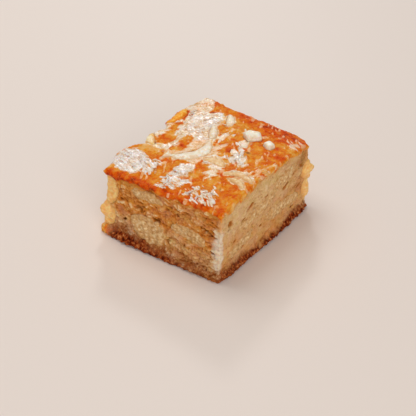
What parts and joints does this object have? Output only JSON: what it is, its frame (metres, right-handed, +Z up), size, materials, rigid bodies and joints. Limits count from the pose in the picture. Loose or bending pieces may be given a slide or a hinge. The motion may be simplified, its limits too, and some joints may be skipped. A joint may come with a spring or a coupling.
{
  "type": "apple sharlotka piece",
  "caption": "Square-cut piece of apple sharlotka: a whisked sponge baked round apple slices, with a golden flaky crust on top and a dark crumbly base crust.",
  "frame": {"origin": "under the middle of the box that holds the piece, on the surface it stands on", "axes": "+Z up, +X to the right along the near cut face, +Y from the near cut face to the far one"},
  "size_m": [0.0814, 0.0912, 0.0459],
  "materials": {
    "baked_sponge": "porous cut crumb, glossy golden-orange crust on top with dried white skin, dark brown crumbly crust under it",
    "baked_apple": "moist, slightly see-through, pale cream-yellow",
    "caramelised_apple": "wet, see-through, amber-yellow"
  },
  "bodies": {
    "root": {"apple_chunk_large": "baked_apple", "apple_chunk_small": "baked_apple", "apple_corner_low": "caramelised_apple", "apple_corner_upper": "caramelised_apple", "apple_edge": "caramelised_apple", "apple_far_low": "baked_apple", "apple_far_middle": "baked_apple", "apple_far_upper": "baked_apple", "apple_left_low": "baked_apple", "apple_left_middle": "baked_apple", "apple_left_upper": "baked_apple", "apple_near_middle": "baked_apple", "apple_near_thick": "baked_apple", "apple_near_upper": "baked_apple", "apple_right_corner": "baked_apple", "apple_right_low": "baked_apple", "apple_right_middle": "baked_apple", "apple_right_upper": "baked_apple", "apple_tip": "caramelised_apple", "apple_top_amber": "caramelised_apple", "apple_top_bit": "baked_apple", "apple_top_blade": "baked_apple", "apple_top_crescent": "baked_apple", "apple_top_edge": "caramelised_apple", "apple_top_long": "baked_apple", "apple_top_sliver": "baked_apple", "apple_top_strip": "baked_apple", "apple_top_striped": "baked_apple", "sponge": "baked_sponge"}
  },
  "joints": []
}
